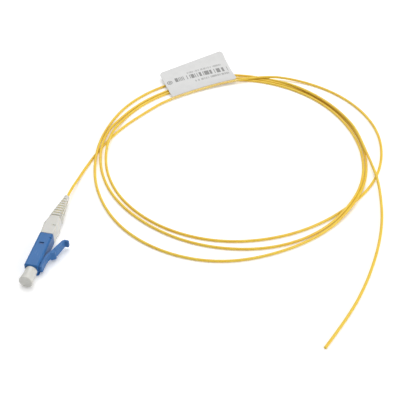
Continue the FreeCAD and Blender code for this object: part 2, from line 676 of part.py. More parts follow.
def cord_path(route):
    """Straight runs through the route's points, joined by tangent arcs; also the arcs' radii."""
    points = [FreeCAD.Vector(*point) for point in route]
    edges, radii = [], []
    start = points[0]
    for before, corner, after in zip(points, points[1:], points[2:]):
        back, ahead = before - corner, after - corner
        reach = BEND_SHARE * min(back.Length, ahead.Length)
        back.normalize()
        ahead.normalize()
        half_turn = (math.pi - back.getAngle(ahead)) / 2
        radius = reach / math.tan(half_turn)
        inward = (back + ahead).normalize()
        middle = corner + inward * (radius / math.cos(half_turn) - radius)
        first, last = corner + back * reach, corner + ahead * reach
        edges.append(Part.LineSegment(start, first).toShape())
        edges.append(Part.Arc(first, middle, last).toShape())
        start = last
        radii.append(radius)
    edges.append(Part.LineSegment(start, points[-1]).toShape())
    return Part.Wire(edges), radii


def cord_tube(route, radius):
    """A tube along a route: a prism for each run and a sector turned about its centre for each arc."""
    path, radii = cord_path(route)
    start = path.Edges[0]
    heading = start.tangentAt(start.FirstParameter)
    rim = Part.Circle(start.valueAt(start.FirstParameter), heading, radius)
    corners = [rim.value(2 * math.pi * side / CORD_SIDES) for side in range(CORD_SIDES + 1)]
    section = Part.Face(Part.makePolygon(corners))
    lengths = []
    for edge in path.Edges:
        if edge.Curve.TypeId == "Part::GeomLine":
            run = edge.tangentAt(edge.FirstParameter) * edge.Length
            lengths.append(section.extrude(run))
            section = section.translated(run)
        else:
            sweep = math.degrees(edge.LastParameter - edge.FirstParameter)
            lengths.append(section.revolve(edge.Curve.Center, edge.Curve.Axis, sweep))
            section = section.rotated(edge.Curve.Center, edge.Curve.Axis, sweep)
    tube = lengths[0].multiFuse(lengths[1:])
    expected = section.Area * path.Length
    if abs(tube.Volume / expected - 1) > VOLUME_TOLERANCE:
        raise RuntimeError(f"A cord's tube has volume {tube.Volume}, not {expected}")
    return tube, path, radii


def run_channel(start, end, half_width, height):
    """An upright groove for one run of the cord, open at the top."""
    along = end - start
    past = half_width
    box = Part.makeBox(math.hypot(along.x, along.y) + 2 * past, 2 * half_width, height)
    box.translate(FreeCAD.Vector(-past, -half_width, min(start.z, end.z) - half_width))
    turned = FreeCAD.Rotation(FreeCAD.Vector(0, 0, 1), math.degrees(math.atan2(along.y, along.x)))
    box.Placement = FreeCAD.Placement(FreeCAD.Vector(start.x, start.y, 0), turned).multiply(box.Placement)
    return box


def solid_piece(name, shape, lift=0.0):
    """A sub-part given as a finished solid."""
    feature = doc.addObject("Part::Feature", name)
    feature.Label = name
    feature.Shape = shape
    feature.Placement = FreeCAD.Placement(FreeCAD.Vector(0, 0, lift), FreeCAD.Rotation())
    bodies.append(feature)
    return feature


def make_cord():
    """The cord's plain solids: a tube on each side of the coil, and the coil as one ring."""
    radius = value("cord_radius")
    thickness = value("coil_thickness")
    groove = radius + value("cord_clearance")
    ring = coil_disc(COIL_OUTER, thickness).cut(coil_disc(COIL_INNER, thickness))
    for name, route in (("cord_tail", TAIL_ROUTE), ("cord_free_end", FREE_ROUTE)):
        tube, path, radii = cord_tube(route, radius)
        print(name, "length", round(path.Length, 1), "radii", [round(bend, 1) for bend in radii])
        solid_piece(name, tube)
        points = [FreeCAD.Vector(*point) for point in route]
        for start, end in zip(points, points[1:]):
            ring = ring.cut(run_channel(start, end, groove, 2 * thickness))

    # Under the label the strands lie side by side, one layer high
    margin = 2 * thickness
    flat = Part.makeBox(value("label_length") + margin, value("label_depth") + margin, thickness)
    flat.translate(FreeCAD.Vector(-thickness, -thickness, 0))
    flat.Placement = label_placement(value("coil_flat_thickness")).multiply(flat.Placement)
    ring = ring.cut(flat)
    solid_piece("cord_coil", ring.Solids[0] if len(ring.Solids) == 1 else ring)


def coil_disc(reaches, thickness):
    """A flat disc about the coil's middle whose edge passes through one reach per 30 degrees."""
    middle = FreeCAD.Vector(value("coil_middle_x"), value("coil_middle_y"), 0)
    points = []
    for index, reach in enumerate(reaches):
        bearing = 2 * math.pi * index / len(reaches)
        points.append(middle + FreeCAD.Vector(reach * math.cos(bearing), reach * math.sin(bearing), 0))
    points.append(points[0])
    arcs = [Part.Arc(*points[first:first + 3]).toShape() for first in range(0, len(reaches), 2)]
    face = Part.Face(Part.Wire(arcs))
    return face.extrude(FreeCAD.Vector(0, 0, thickness))


def label_placement(height=0.0):
    """The label's own axes: along the cord, away from the coil's middle, and up."""
    turned = FreeCAD.Rotation(FreeCAD.Vector(0, 0, 1), value("label_heading"))
    corner = FreeCAD.Vector(value("label_x"), value("label_y"), height)
    return FreeCAD.Placement(corner, turned)


def label_section(along, film):
    """A section across the film leaf: its underside out, its top side back. It curls up outwards."""
    depth, slant = value("label_depth"), value("label_slant")
    rest = value("coil_flat_thickness") + value("label_rest")
    near, far = value("label_near_lift"), value("label_far_lift")
    lift = near + (far - near) * along / value("label_length")
    low = [FreeCAD.Vector(along + slant * share, depth * share, rest + lift * max(share, 0) ** 2)
           for share in LABEL_SHARES]
    high = [point + FreeCAD.Vector(0, 0, film) for point in reversed(low)]
    return Part.makePolygon(low + high + low[:1])


def label_outline(height):
    """The leaf's plan with its rounded corners, as a prism."""
    length, depth, slant = value("label_length"), value("label_depth"), value("label_slant")
    corners = [FreeCAD.Vector(0, 0, 0), FreeCAD.Vector(length, 0, 0),
               FreeCAD.Vector(length + slant, depth, 0), FreeCAD.Vector(slant, depth, 0)]
    prism = Part.Face(Part.makePolygon(corners + corners[:1])).extrude(FreeCAD.Vector(0, 0, height))
    near_start = corners[0]
    rounded = [edge for edge in prism.Edges if runs_along(FreeCAD.Vector(0, 0, 1))(edge)
               and math.hypot(edge.CenterOfMass.x - near_start.x, edge.CenterOfMass.y - near_start.y) > 1]
    return prism.makeFillet(value("label_corner"), rounded)


def make_label():
    """Flag label: film wrapped round the cord, its two leaves stuck together and lifting."""
    film = value("label_film")
    length = value("label_length")
    bore = value("cord_radius") + value("cord_clearance")
    wrap = bore + value("label_wrap")
    past = value("label_corner")
    leaf = Part.makeLoft([label_section(-past, film), label_section(length + past, film)], True, True)
    leaf = leaf.common(label_outline(2 * value("label_far_lift")))
    leaf.Placement = label_placement()
    between_ends = Part.makeBox(length, 6 * wrap, 4 * wrap, FreeCAD.Vector(0, -3 * wrap, -wrap))
    between_ends.Placement = label_placement().multiply(between_ends.Placement)
    sleeve = cord_tube(TAIL_ROUTE, wrap)[0].common(between_ends)
    label = leaf.fuse(sleeve).cut(cord_tube(TAIL_ROUTE, bore)[0])
    solid_piece("flag_label", label.Solids[0] if len(label.Solids) == 1 else label)


make_housing()
make_latch()
make_ferrule()
make_flange()
make_spring()
make_fiber_buffer()
make_rear_body()
make_boot()
make_dust_cap()
make_cord()
make_label()
doc.recompute()

for item in doc.Objects:
    if any(flag in item.State for flag in ("Invalid", "Error")):
        raise RuntimeError(f"{item.Label} failed: {item.State}")

os.makedirs("parts", exist_ok=True)
for piece in bodies:
    if piece.Shape.isNull() or not piece.Shape.isValid():
        raise RuntimeError(f"{piece.Label} has no valid shape")
    piece.Shape.exportStep(f"parts/{piece.Label}.step")
    box = piece.Shape.BoundBox
    print(piece.Label, "solids", len(piece.Shape.Solids), "volume", round(piece.Shape.Volume, 2),
          "x", round(box.XMin, 2), round(box.XMax, 2), "y", round(box.YMin, 2), round(box.YMax, 2),
          "z", round(box.ZMin, 2), round(box.ZMax, 2))
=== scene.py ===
"""Dresses the fibre pigtail: cord, label, boot, cap and connector finishes, and a plain stage."""

import math

import bmesh
import bpy
from bpy.props import FloatProperty, FloatVectorProperty, PointerProperty
from mathutils import Matrix, Vector


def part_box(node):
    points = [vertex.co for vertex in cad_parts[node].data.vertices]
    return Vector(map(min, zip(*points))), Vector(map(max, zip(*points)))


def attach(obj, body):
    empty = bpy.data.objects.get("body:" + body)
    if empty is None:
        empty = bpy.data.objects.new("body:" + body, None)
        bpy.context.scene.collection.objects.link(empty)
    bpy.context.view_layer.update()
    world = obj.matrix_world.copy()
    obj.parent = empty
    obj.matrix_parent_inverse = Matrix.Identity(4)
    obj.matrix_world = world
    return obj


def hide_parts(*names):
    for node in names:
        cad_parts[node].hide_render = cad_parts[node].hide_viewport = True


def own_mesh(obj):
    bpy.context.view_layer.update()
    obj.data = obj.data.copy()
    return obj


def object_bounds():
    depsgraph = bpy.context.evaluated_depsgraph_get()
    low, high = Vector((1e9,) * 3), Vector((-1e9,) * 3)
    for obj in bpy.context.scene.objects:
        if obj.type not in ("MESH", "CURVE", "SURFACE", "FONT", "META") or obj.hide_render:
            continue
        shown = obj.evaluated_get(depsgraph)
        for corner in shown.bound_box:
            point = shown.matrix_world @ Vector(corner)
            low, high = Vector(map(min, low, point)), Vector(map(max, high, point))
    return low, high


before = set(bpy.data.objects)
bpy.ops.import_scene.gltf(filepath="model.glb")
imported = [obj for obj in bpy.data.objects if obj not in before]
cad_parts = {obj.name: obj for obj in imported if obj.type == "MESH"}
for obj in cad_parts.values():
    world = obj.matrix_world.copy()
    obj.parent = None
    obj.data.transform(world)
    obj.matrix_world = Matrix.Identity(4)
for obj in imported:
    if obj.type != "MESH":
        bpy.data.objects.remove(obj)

bl_info = {
    "name": "Fibre pigtail",
    "version": (1, 0, 0),
    "blender": (4, 5, 0),
    "location": "3D View > Sidebar > Pigtail",
    "description": "Dresses a simplex fibre pigtail and sets its stage",
    "category": "Object",
}

CAD_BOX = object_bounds()
MM = 0.001

# Where things are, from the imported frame
HOUSING_LOW, HOUSING_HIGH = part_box("connector_housing")
BOOT_LOW, BOOT_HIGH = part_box("strain_boot")
SPRING_LOW, SPRING_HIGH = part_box("ferrule_spring")
PLUG_AXIS = (HOUSING_LOW[2] + HOUSING_HIGH[2]) / 2
# The boot's ribs start this far from its tip, and taper between these radii
RIBS_START = BOOT_HIGH[1] - 0.0098
RIB_RADII = (0.0022, 0.00085)
# How deep below that taper a slot floor starts to take its painted light, and where it has it in full
SLOT_DEPTHS = (0.1 * MM, 0.5 * MM)
# The spring behind the ferrule: radii of its wire and of its coil, its turns, and the steps that make each
# turn
SPRING_WIRE = 0.00016
SPRING_COIL = 0.00102
SPRING_TURNS = 4
SPRING_STEPS = 24

# The cord's way out of the boot, under the label and into the coil, and out of it to its cut end
TAIL_ROUTE = [
    (0.0, 0.0222, 0.00225), (0.0, 0.0296, 0.00225), (0.00025, 0.0375, 0.00095),
    (0.00085, 0.0454, 0.00045), (0.00205, 0.0528, 0.00045), (0.0041, 0.0613, 0.00045),
    (0.0076, 0.0704, 0.00045), (0.0126, 0.0792, 0.00045), (0.0179, 0.0877, 0.00058),
    (0.0289, 0.0976, 0.0006), (0.0405, 0.1052, 0.00133),
]
FREE_ROUTE = [
    (0.0932, 0.0734, 0.00143), (0.0962, 0.0659, 0.00143), (0.0987, 0.059, 0.0014),
    (0.1006, 0.0506, 0.00045), (0.1018, 0.0415, 0.00045), (0.102, 0.032, 0.00045),
    (0.1012, 0.0215, 0.00045), (0.0993, 0.0096, 0.00045), (0.0959, -0.0031, 0.00045),
    (0.0907, -0.0163, 0.00045),
]

# The coil: how far out each turn runs, in millimetres, twelve times a turn, clockwise from COIL_START
COIL_MIDDLE = (47.5, 61.0)
COIL_START = 93.7
TURN_REACHES = [
    [47.9, 54.0, 55.3, 51.2, 45.3, 42.5, 41.8, 41.7, 42.3, 43.1, 43.4, 43.9],
    [46.4, 46.7, 46.1, 46.1, 46.5, 46.4, 44.7, 43.5, 44.1, 44.95, 44.6, 45.2],
    [47.6, 47.9, 47.3, 47.1, 47.45, 48.5, 51.1, 50.5, 47.7, 45.9, 47.4, 48.5],
    [49.3, 47.9, 47.5, 48.2],
]
COIL_STEP = 30
COIL_POINT_STEP = 9
COIL_ENTRY, COIL_LEAVE = 10, 1144
# Where a turn climbs over a strand that lies below it, in degrees along the coil. The first turn starts
# on top of the others, beside the label, and the last one ends on top of them
CROSSINGS = [274.0, 472.0, 631.0, 832.0, 986.0]
FIRST_DROP, LAST_CLIMB = 13.0, 1103.0
CLIMB_TOP, CLIMB_RAMP = 5.5, 13.0
STRAND_LIFT = 0.98

# The flag label, in millimetres: where its inner edge starts on the cord, and how its sheet curls up
LABEL_CORNER = (20.7, 89.05)
LABEL_HEADING = 39.0
LABEL_SLANT = 1.2
LABEL_REST = 1.0
LABEL_LIFTS = (1.1, 3.75)
LABEL_EDGE_GAP = 0.2
LABEL_ABOVE_CORD = 0.42
LABEL_CELL = 0.8
SLEEVE_RADIUS = 0.56
# Rows of print, in millimetres: start along the label, middle out from its inner edge, length, height,
# then the row's rise for each millimetre, the width of one mark and the strength of the ink
PRINT_ROWS = [
    (4.3, 8.75, 21.2, 2.3, -0.083, 0.3, 0.8),
    (9.6, 10.55, 14.2, 0.9, -0.055, 0.15, 0.42),
    (11.4, 5.05, 13.8, 1.1, -0.025, 0.16, 0.5),
]
# Shares of the marks and of their groups that stay blank, how many marks wide a group is, and seeds
BLANK_MARKS, BLANK_GROUPS = 0.27, 0.1
GROUP_WIDTH = 4
MARK_SEED, GROUP_SEED, SEED_STEP = 3, 40, 31.0
# The round mark: its middle along and out, its radius, its ink, and its pale ring as shares of the radius
PRINT_SYMBOL = (1.95, 8.4, 1.1)
SYMBOL_INK = 0.75
SYMBOL_RING, SYMBOL_RING_WIDTH = 0.55, 0.12
# The film's mottle and its fibres: scale of the noise, and the tone and the gloss that they change
MOTTLE_SCALE, MOTTLE_RANGE, MOTTLE_TONE = 420.0, (0.35, 0.7), 0.965
FIBRE_SCALE, FIBRE_HEIGHT = 3200.0, 0.00001
FILM_ROUGHNESS, FIBRE_ROUGHNESS = 0.35, 0.2

# Marks that every moulded piece has: levels of noise where patches, scuffs and specks begin and end
PATCH_RANGE = (0.3, 0.7)
SCUFF_SCALE, SCUFF_STRETCH, SCUFF_RANGE = 2200.0, (1.0, 0.12, 0.6), (0.6, 0.76)
SPECK_SCALE, SPECK_RANGE = 5200.0, (0.74, 0.8)
MARK_COLOUR = (0.8, 0.8, 0.78, 1.0)
# Streaks along the cap
STREAK_SCALE, STREAK_STRETCH, STREAK_RANGE = 1500.0, (1.0, 0.06, 1.0), (0.5, 0.72)
STREAK_STRENGTH, STREAK_TONE = 0.6, 0.9
# Rings on turned metal
RING_SCALE, RING_DISTORTION, RING_HEIGHT = 3500.0, 1.5, 0.000003
CERAMIC = (0.85, 0.84, 0.8, 1.0)
FLANGE_METAL = (0.62, 0.61, 0.58, 1.0)
SPRING_METAL = (0.55, 0.55, 0.56, 1.0)

FLOOR_SIZE = 3.0
# The soft lights: where each stands, how wide it is, and the setting that holds its power
SOFTBOXES = (
    ("top_softbox", (-0.1, 0.35, 0.9), 1.2, "top_light"),
    ("side_softbox", (0.9, -0.1, 0.45), 0.8, "side_light"),
)

CAMERA_TARGET = (0.04232, 0.03746, 0.0)
CAMERA_DISTANCE = 0.3302
CAMERA_AZIMUTH, CAMERA_ELEVATION = 12.68, 42.0
CAMERA_LENS = 90.0
CAMERA_SENSOR = 36.0


class PigtailCord(bpy.types.PropertyGroup):
    """Size and colour of the cord."""
    diameter: FloatProperty(name="Diameter", description="Outer diameter of the cord", default=0.0009,
                            subtype="DISTANCE", unit="LENGTH")
    length: FloatProperty(name="Length", description="Length of the cord in view", default=1.138,
                          subtype="DISTANCE", unit="LENGTH")
    colour: FloatVectorProperty(name="Colour", description="Colour of the cord's coating", size=4,
                                default=(0.85, 0.6, 0.055, 1.0), min=0, max=1, subtype="COLOR")
    shade: FloatVectorProperty(name="Shade", description="Deeper tone of the coating's patches", size=4,
                               default=(0.84, 0.54, 0.045, 1.0), min=0, max=1, subtype="COLOR")


class PigtailConnector(bpy.types.PropertyGroup):
    """Colours of the connector's pieces."""
    housing: FloatVectorProperty(name="Housing", description="Colour of the housing and latch", size=4,
                                 default=(0.033, 0.149, 0.397, 1.0), min=0, max=1, subtype="COLOR")
    boot: FloatVectorProperty(name="Boot", description="Colour of the strain relief boot", size=4,
                              default=(0.65, 0.64, 0.6, 1.0), min=0, max=1, subtype="COLOR")
    # Painted light on the boot's slot floors: lighter and yellower than the boot, which takes out the shade
    # down there
    slots: FloatVectorProperty(name="Slots", description="Colour down in the boot's slots", size=4,
                               default=(0.8, 0.75, 0.54, 1.0), min=0, max=1, subtype="COLOR")
    insert: FloatVectorProperty(name="Insert", description="Colour of the housing's rear insert", size=4,
                                default=(0.02, 0.085, 0.25, 1.0), min=0, max=1, subtype="COLOR")
    cap: FloatVectorProperty(name="Cap", description="Colour of the dust cap", size=4,
                             default=(0.66, 0.655, 0.615, 1.0), min=0, max=1, subtype="COLOR")


class PigtailLabel(bpy.types.PropertyGroup):
    """Size and colours of the flag label."""
    length: FloatProperty(name="Length", description="Length of the label along the cord", default=0.0266,
                          subtype="DISTANCE", unit="LENGTH")
    depth: FloatProperty(name="Depth", description="How far the flag stands out from the cord",
                         default=0.0154, subtype="DISTANCE", unit="LENGTH")
    thickness: FloatProperty(name="Thickness", description="Thickness of the flag's film",
                             default=0.0002, subtype="DISTANCE", unit="LENGTH")
    corner: FloatProperty(name="Corner", description="Radius of the flag's round corners", default=0.0015,
                          subtype="DISTANCE", unit="LENGTH")
    film: FloatVectorProperty(name="Film", description="Colour of the printed film", size=4,
                              default=(0.65, 0.65, 0.645, 1.0), min=0, max=1, subtype="COLOR")
    ink: FloatVectorProperty(name="Ink", description="Colour of the print", size=4,
                             default=(0.13, 0.13, 0.125, 1.0), min=0, max=1, subtype="COLOR")


class PigtailStage(bpy.types.PropertyGroup):
    """Light and floor."""
    floor: FloatVectorProperty(name="Floor", description="Colour of the floor", size=4,
                               default=(0.94, 0.94, 0.94, 1.0), min=0, max=1, subtype="COLOR")
    glow: FloatProperty(name="Floor glow", description="Light that the floor gives by itself", default=0.18)
    sky: FloatProperty(name="Sky", description="Strength of the even light from all round", default=0.2)
    top_light: FloatProperty(name="Top light", description="Power of the soft light overhead", default=9.2,
                             unit="POWER")
    side_light: FloatProperty(name="Side light", description="Power of the soft light from the right",
                              default=4.6, unit="POWER")


def coil_reach(angle):
    """How far out the cord runs at an angle along the coil, smooth between the given reaches."""
    reaches = [reach for one_turn in TURN_REACHES for reach in one_turn]
    place = angle / COIL_STEP
    index = min(int(place), len(reaches) - 2)
    share = place - index
    near = [min(max(index + shift, 0), len(reaches) - 1) for shift in (-1, 0, 1, 2)]
    before, start, end, after = [reaches[position] for position in near]
    curve = 3 * (start - end) + after - before
    bend = 2 * before - 5 * start + 4 * end - after
    return start + 0.5 * share * (end - before + share * (bend + share * curve))


def coil_height(angle, radius):
    """How high the cord's middle lies: on the floor, or lifted over a crossing strand."""
    nearness = [1 - max(abs(angle - crossing) - CLIMB_TOP, 0) / CLIMB_RAMP for crossing in CROSSINGS]
    nearness.append(1 - max(angle - FIRST_DROP, 0) / CLIMB_RAMP)
    nearness.append(1 - max(LAST_CLIMB - angle, 0) / CLIMB_RAMP)
    climb = min(max(max(nearness), 0), 1)
    return radius + STRAND_LIFT * MM * climb * climb * (3 - 2 * climb)


def coil_points(radius):
    """The control points of the coil's turns, from where the tail joins them to where the end leaves."""
    points = []
    for angle in range(COIL_ENTRY, COIL_LEAVE + 1, COIL_POINT_STEP):
        bearing = math.radians(COIL_START - angle)
        reach = coil_reach(angle)
        points.append((MM * (COIL_MIDDLE[0] + reach * math.cos(bearing)),
                       MM * (COIL_MIDDLE[1] + reach * math.sin(bearing)), coil_height(angle, radius)))
    return points


def route_curve(name, points):
    """A smooth open curve with the route's points as its control points."""
    curve = bpy.data.curves.new(name, "CURVE")
    curve.dimensions = "3D"
    spline = curve.splines.new("NURBS")
    spline.points.add(len(points) - 1)
    for knot, point in zip(spline.points, points):
        knot.co = (*point, 1.0)
    spline.order_u = 3
    spline.use_endpoint_u = True
    curve.resolution_u = 6
    return curve


def route_line(points):
    """The points that the cord's middle follows, read from its own smooth curve."""
    probe = bpy.data.objects.new("route_probe", route_curve("route_probe", points))
    mesh = bpy.data.meshes.new_from_object(probe)
    line = [vertex.co.copy() for vertex in mesh.vertices]
    bpy.data.meshes.remove(mesh)
    curve = probe.data
    bpy.data.objects.remove(probe)
    bpy.data.curves.remove(curve)
    return line


def label_axes():
    """The label's own axes in millimetres: along the cord, away from the coil's middle, and up."""
    return Matrix.Translation((*LABEL_CORNER, 0.0)) @ Matrix.Rotation(math.radians(LABEL_HEADING), 4, "Z")


def labelled_stretch(line, length):
    """The stretch of the cord's line that the label holds, in the label's own axes."""
    inside = label_axes().inverted()
    ahead = [inside @ (point / MM) for point in line]
    first = next(index for index, point in enumerate(ahead) if point.x > 0)
    last = next(index for index, point in enumerate(ahead) if index > first and point.x > length)
    return ahead[first - 1:last + 1]


def cord_middle(stretch, along):
    """The cord's middle at a place along the label, in the label's own axes."""
    for start, end in zip(stretch, stretch[1:]):
        if end.x >= along:
            break
    return start.lerp(end, (along - start.x) / (end.x - start.x))


def link(obj):
    """Put an object into the scene."""
    bpy.context.scene.collection.objects.link(obj)
    return obj


def add_node(tree, kind, **settings):
    """A new node of a tree, with its settings."""
    node = tree.nodes.new(kind)
    for name, setting in settings.items():
        setattr(node, name, setting)
    return node


def math_node(tree, operation, first, second=None):
    """A math node; its inputs are sockets or numbers."""
    node = add_node(tree, "ShaderNodeMath", operation=operation)
    for index, given in enumerate((first, second)):
        if given is None:
            continue
        if isinstance(given, bpy.types.NodeSocket):
            tree.links.new(given, node.inputs[index])
        else:
            node.inputs[index].default_value = given
    return node.outputs[0]


def group_inputs(group, inputs):
    """Named inputs of a node group: colours where the start value is a tuple, numbers otherwise."""
    for name, start in inputs.items():
        kind = "NodeSocketColor" if isinstance(start, tuple) else "NodeSocketFloat"
        group.interface.new_socket(name, in_out="INPUT", socket_type=kind).default_value = start


def blend_colours(tree, factor, first, second):
    """The two colours mixed by a factor; each input is a socket or a value."""
    mix = add_node(tree, "ShaderNodeMix", data_type="RGBA")
    for name, given in (("Factor", factor), ("A", first), ("B", second)):
        if isinstance(given, bpy.types.NodeSocket):
            tree.links.new(given, mix.inputs[name])
        else:
            mix.inputs[name].default_value = given
    return mix.outputs["Result"]


def noise(tree, place, scale, detail=2.0, stretch=None):
    """Noise over the object, drawn out along an axis where a stretch is given."""
    texture = add_node(tree, "ShaderNodeTexNoise")
    texture.inputs["Detail"].default_value = detail
    if stretch:
        mapping = add_node(tree, "ShaderNodeMapping")
        mapping.inputs["Scale"].default_value = stretch
        tree.links.new(place, mapping.inputs["Vector"])
        place = mapping.outputs["Vector"]
    tree.links.new(place, texture.inputs["Vector"])
    if isinstance(scale, bpy.types.NodeSocket):
        tree.links.new(scale, texture.inputs["Scale"])
    else:
        texture.inputs["Scale"].default_value = scale
    return texture.outputs["Fac"]


def ramp(tree, value, start, end):
    """A value that rises smoothly from 0 to 1 between two levels of another."""
    node = add_node(tree, "ShaderNodeMapRange", interpolation_type="SMOOTHSTEP")
    node.inputs["From Min"].default_value = start
    node.inputs["From Max"].default_value = end
    tree.links.new(value, node.inputs["Value"])
    return node.outputs["Result"]


def moulded_tone_group():
    """Shader group of moulded and coated surfaces: patches of tone, grain, fine scuffs and specks."""
    group = bpy.data.node_groups.get("moulded_tone")
    if group:
        return group
    group = bpy.data.node_groups.new("moulded_tone", "ShaderNodeTree")
    group_inputs(group, {"Colour": (0.8, 0.8, 0.8, 1.0), "Shade": (0.7, 0.7, 0.7, 1.0),
                         "Patch scale": 300.0, "Grain scale": 6000.0, "Base roughness": 0.35,
                         "Roughness change": 0.1, "Scuffs": 0.3})
    for name, kind in (("Colour", "NodeSocketColor"), ("Roughness", "NodeSocketFloat"),
                       ("Height", "NodeSocketFloat")):
        group.interface.new_socket(name, in_out="OUTPUT", socket_type=kind)
    given = add_node(group, "NodeGroupInput").outputs
    out = add_node(group, "NodeGroupOutput")
    place = add_node(group, "ShaderNodeTexCoord").outputs["Object"]
    patches = ramp(group, noise(group, place, given["Patch scale"], detail=3.0), *PATCH_RANGE)
    grain = noise(group, place, given["Grain scale"])
    scuffs = ramp(group, noise(group, place, SCUFF_SCALE, detail=4.0, stretch=SCUFF_STRETCH), *SCUFF_RANGE)
    specks = ramp(group, noise(group, place, SPECK_SCALE, detail=1.0), *SPECK_RANGE)
    marks = math_node(group, "MULTIPLY", math_node(group, "MAXIMUM", scuffs, specks), given["Scuffs"])
    toned = blend_colours(group, patches, given["Colour"], given["Shade"])
    group.links.new(blend_colours(group, marks, toned, MARK_COLOUR), out.inputs["Colour"])
    uneven = math_node(group, "SUBTRACT", grain, 0.5)
    change = math_node(group, "MULTIPLY", uneven, given["Roughness change"])
    rough = math_node(group, "ADD", math_node(group, "ADD", given["Base roughness"], change), marks)
    group.links.new(rough, out.inputs["Roughness"])
    group.links.new(math_node(group, "SUBTRACT", grain, marks), out.inputs["Height"])
    return group


def new_material(name):
    """A material with an empty tree but for its output and one Principled shader."""
    material = bpy.data.materials.new(name)
    material.use_nodes = True
    tree = material.node_tree
    shader = next(node for node in tree.nodes if node.type == "BSDF_PRINCIPLED")
    return material, tree, shader


def moulded(name, colour, roughness, shade=0.93, patch_scale=250.0, grain_scale=5000.0,
            grain_height=0.000004, scuffs=0.1, sockets=None):
    """Moulded plastic or a coating. The shade is a colour, or a share of the first colour; the two
    scales are finer the higher they are; sockets are values of the shader's own."""
    material, tree, shader = new_material(name)
    tone = add_node(tree, "ShaderNodeGroup")
    tone.node_tree = moulded_tone_group()
    tone.inputs["Colour"].default_value = colour
    if isinstance(shade, float):
        shade = (*[part * shade for part in colour[:3]], 1.0)
    tone.inputs["Shade"].default_value = shade
    tone.inputs["Patch scale"].default_value = patch_scale
    tone.inputs["Grain scale"].default_value = grain_scale
    tone.inputs["Base roughness"].default_value = roughness
    tone.inputs["Scuffs"].default_value = scuffs
    bump = add_node(tree, "ShaderNodeBump")
    bump.inputs["Distance"].default_value = grain_height
    tree.links.new(tone.outputs["Colour"], shader.inputs["Base Color"])
    tree.links.new(tone.outputs["Roughness"], shader.inputs["Roughness"])
    tree.links.new(tone.outputs["Height"], bump.inputs["Height"])
    tree.links.new(bump.outputs["Normal"], shader.inputs["Normal"])
    for socket, setting in (sockets or {}).items():
        shader.inputs[socket].default_value = setting
    return material


def tint(material, colour, mask_maker):
    """Lay a colour over a material's own where a mask says; mask_maker takes the tree and a place."""
    tree = material.node_tree
    shader = next(node for node in tree.nodes if node.type == "BSDF_PRINCIPLED")
    place = add_node(tree, "ShaderNodeTexCoord").outputs["Object"]
    beneath = shader.inputs["Base Color"].links[0].from_socket
    mixed = blend_colours(tree, mask_maker(tree, place), beneath, colour)
    tree.links.new(mixed, shader.inputs["Base Color"])
    return material


def axis_distance(tree, place):
    """Distance from the plug's axis, and the place along it, in metres."""
    split = add_node(tree, "ShaderNodeSeparateXYZ")
    tree.links.new(place, split.inputs["Vector"])
    rise = math_node(tree, "SUBTRACT", split.outputs["Z"], PLUG_AXIS)
    square = math_node(tree, "ADD", math_node(tree, "MULTIPLY", split.outputs["X"], split.outputs["X"]),
                       math_node(tree, "MULTIPLY", rise, rise))
    return math_node(tree, "SQRT", square), split.outputs["Y"]


def dress_node(node, material):
    """Give a CAD node its finish."""
    mesh = bpy.data.objects[node].data
    mesh.materials.clear()
    mesh.materials.append(material)


class PIGTAIL_OT_stage(bpy.types.Operator):
    """Floor, soft lights and the camera at the photograph's angle"""
    bl_idname = "pigtail.stage"
    bl_label = "Stage"

    def execute(self, context):
        settings = context.scene.pigtail_stage
        self.add_floor(settings)
        self.add_lights(context, settings)
        self.add_camera(context)
        context.scene.view_settings.view_transform = "Standard"
        return {"FINISHED"}

    def add_floor(self, settings):
        mesh = bpy.data.meshes.new("floor")
        shape = bmesh.new()
        bmesh.ops.create_grid(shape, x_segments=1, y_segments=1, size=FLOOR_SIZE)
        bmesh.ops.translate(shape, verts=shape.verts[:], vec=(0.0, 0.0, CAD_BOX[0][2]))
        shape.to_mesh(mesh)
        shape.free()
        floor = link(bpy.data.objects.new("floor", mesh))
        material, _, shader = new_material("pale_floor")
        shader.inputs["Base Color"].default_value = settings.floor
        shader.inputs["Roughness"].default_value = 0.9
        shader.inputs["Specular IOR Level"].default_value = 0.1
        shader.inputs["Emission Color"].default_value = (1.0, 1.0, 1.0, 1.0)
        shader.inputs["Emission Strength"].default_value = settings.glow
        mesh.materials.append(material)

    def add_lights(self, context, settings):
        world = bpy.data.worlds.new("studio")
        world.use_nodes = True
        sky = next(node for node in world.node_tree.nodes if node.type == "BACKGROUND")
        sky.inputs["Color"].default_value = (1.0, 1.0, 1.0, 1.0)
        sky.inputs["Strength"].default_value = settings.sky
        context.scene.world = world
        for name, place, size, power in SOFTBOXES:
            lamp = bpy.data.lights.new(name, "AREA")
            lamp.shape = "DISK"
            lamp.size = size
            lamp.energy = getattr(settings, power)
            box = link(bpy.data.objects.new(name, lamp))
            aim = (Vector(CAMERA_TARGET) - Vector(place)).to_track_quat("-Z", "Y")
            box.matrix_world = Matrix.LocRotScale(Vector(place), aim, None)

    def add_camera(self, context):
        lens = bpy.data.cameras.new("camera")
        lens.lens = CAMERA_LENS
        lens.sensor_width = CAMERA_SENSOR
        lens.clip_start = 0.01
        lens.clip_end = 20.0
        azimuth, elevation = math.radians(CAMERA_AZIMUTH), math.radians(CAMERA_ELEVATION)
        back = Vector((math.sin(azimuth) * math.cos(elevation), -math.cos(azimuth) * math.cos(elevation),
                       math.sin(elevation)))
        place = Vector(CAMERA_TARGET) + back * CAMERA_DISTANCE
        camera = link(bpy.data.objects.new("camera", lens))
        camera.matrix_world = Matrix.LocRotScale(place, (-back).to_track_quat("-Z", "Y"), None)
        context.scene.camera = camera


